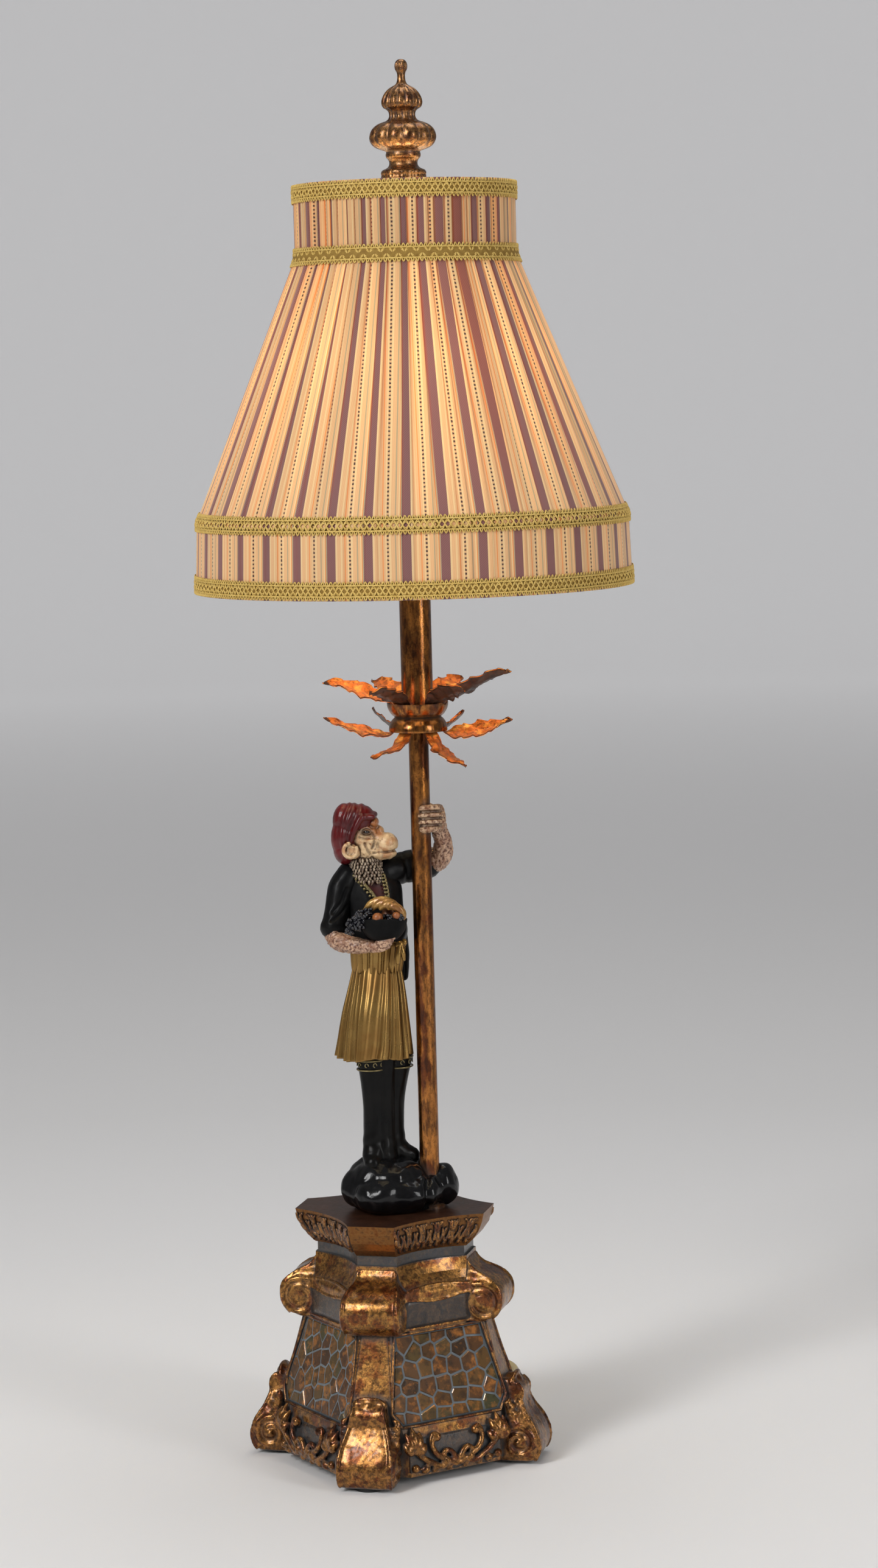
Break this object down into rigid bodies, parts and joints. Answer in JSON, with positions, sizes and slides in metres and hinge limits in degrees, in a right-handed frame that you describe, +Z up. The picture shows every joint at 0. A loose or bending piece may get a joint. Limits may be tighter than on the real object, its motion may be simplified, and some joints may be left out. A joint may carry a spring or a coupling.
{
  "type": "table lamp",
  "caption": "Tall figural table lamp: capped animal figure holding a pole on a square scrolled mosaic plinth, leaf tiers, harp and socket, flared fabric shade, turned finial, coiled cord.",
  "frame": {"origin": "on the table plane, on the axis of the pole, the shade and the finial", "axes": "+Z up along the pole; +X to the right, through the plinth corner nearest the pole; +Y to the back"},
  "size_m": [0.2799, 0.3492, 0.8916],
  "materials": {
    "gilt_casting": "mottled antique gold, satin",
    "mosaic": "glossy irregular tiles in grout",
    "platform_brown": "dark satin brown",
    "pads": "matte black",
    "bottom_felt": "black card cover",
    "iron": "rough cast",
    "zinc_steel": "zinc plated",
    "bronze_tube": "dark bronze, satin",
    "leaf_copper": "mottled copper gold",
    "finial_gold": "antique gold, satin",
    "socket_brass": "bright brass",
    "black_plastic": "black moulding",
    "bulb_metal": "screw cap",
    "bulb_white": "frosted, lit",
    "shade_fabric": "woven striped cloth",
    "shade_lining": "white lining",
    "shade_gimp": "olive braid",
    "shade_wire": "white coated wire",
    "rock_black": "glossy black",
    "boot_black": "satin black",
    "skirt_gold": "antique brass gold",
    "sash_gold": "dark gold",
    "jacket_black": "satin black with gold edge",
    "fur_tan": "tan brown wash",
    "cap_red": "dark red satin",
    "bowl_black": "matte black",
    "grape_blue": "glossy blue black",
    "fruit_orange": "orange brown",
    "cord_gold": "clear gold flexible vinyl",
    "plug_brown": "gold brown moulding",
    "blade_brass": "bright",
    "tie_black": "black strap"
  },
  "bodies": {
    "base": {"plinth_body": "gilt_casting", "scroll_feet": "gilt_casting", "corner_scrolls": "gilt_casting", "apron_carvings": "gilt_casting", "mosaic_panels": "mosaic", "platform_cap": "platform_brown", "foot_pads": "pads", "bottom_cover": "bottom_felt", "ballast": "iron", "threaded_rod": "zinc_steel", "base_nut": "zinc_steel", "base_washer": "zinc_steel", "pole_tube": "bronze_tube", "pole_foot_ring": "bronze_tube", "candle_tube": "bronze_tube", "check_ring": "bronze_tube", "leaf_dome": "bronze_tube", "leaf_cup": "bronze_tube", "lower_leaves": "leaf_copper", "upper_leaves": "leaf_copper", "socket_cap": "socket_brass", "socket_shell": "socket_brass", "harp_saddle": "socket_brass", "harp_wire": "socket_brass", "harp_stud": "socket_brass", "socket_core": "black_plastic", "rock_mound": "rock_black", "boots": "boot_black", "skirt": "skirt_gold", "waist_sash": "sash_gold", "jacket": "jacket_black", "carrying_arm": "fur_tan", "raised_arm": "fur_tan", "head": "fur_tan", "cap": "cap_red", "bowl": "bowl_black", "grapes": "grape_blue", "fruit": "fruit_orange", "cord_lead": "cord_gold", "cord_coil": "cord_gold", "cord_tail": "cord_gold", "inner_lead": "cord_gold", "cord_bushing": "cord_gold", "plug_body": "plug_brown", "plug_blades": "blade_brass", "cord_tie": "tie_black"},
    "shade": {"shade_spider": "shade_wire", "shade_frame": "shade_wire", "shade_cover": "shade_fabric", "shade_liner": "shade_lining", "shade_trim_top": "shade_gimp", "shade_trim_collar": "shade_gimp", "shade_trim_break": "shade_gimp", "shade_trim_hem": "shade_gimp"},
    "finial": {"finial": "finial_gold"},
    "bulb": {"bulb_base": "bulb_metal", "bulb_glass": "bulb_white"},
    "switch": {"switch_knob": "black_plastic"},
    "sleeve_left": {"harp_sleeve_left": "socket_brass"},
    "sleeve_right": {"harp_sleeve_right": "socket_brass"}
  },
  "joints": [
    {"name": "shade_turn", "type": "hinge", "parent": "base", "child": "shade", "pos_m": [0, 0, 0.805], "axis": [0, 0, 1], "continuous": true},
    {"name": "finial_screw", "type": "hinge", "parent": "base", "child": "finial", "pos_m": [0, 0, 0.812], "axis": [0, 0, 1], "continuous": true},
    {"name": "bulb_screw", "type": "hinge", "parent": "base", "child": "bulb", "pos_m": [0, 0, 0.65], "axis": [0, 0, 1], "continuous": true},
    {"name": "switch_turn", "type": "hinge", "parent": "base", "child": "switch", "pos_m": [0, 0.024, 0.63], "axis": [0, 1, 0], "continuous": true},
    {"name": "sleeve_left_lift", "type": "slide", "parent": "base", "child": "sleeve_left", "axis": [0, 0, 1], "range_m": [0, 0.014]},
    {"name": "sleeve_right_lift", "type": "slide", "parent": "base", "child": "sleeve_right", "axis": [0, 0, 1], "range_m": [0, 0.014]}
  ]
}
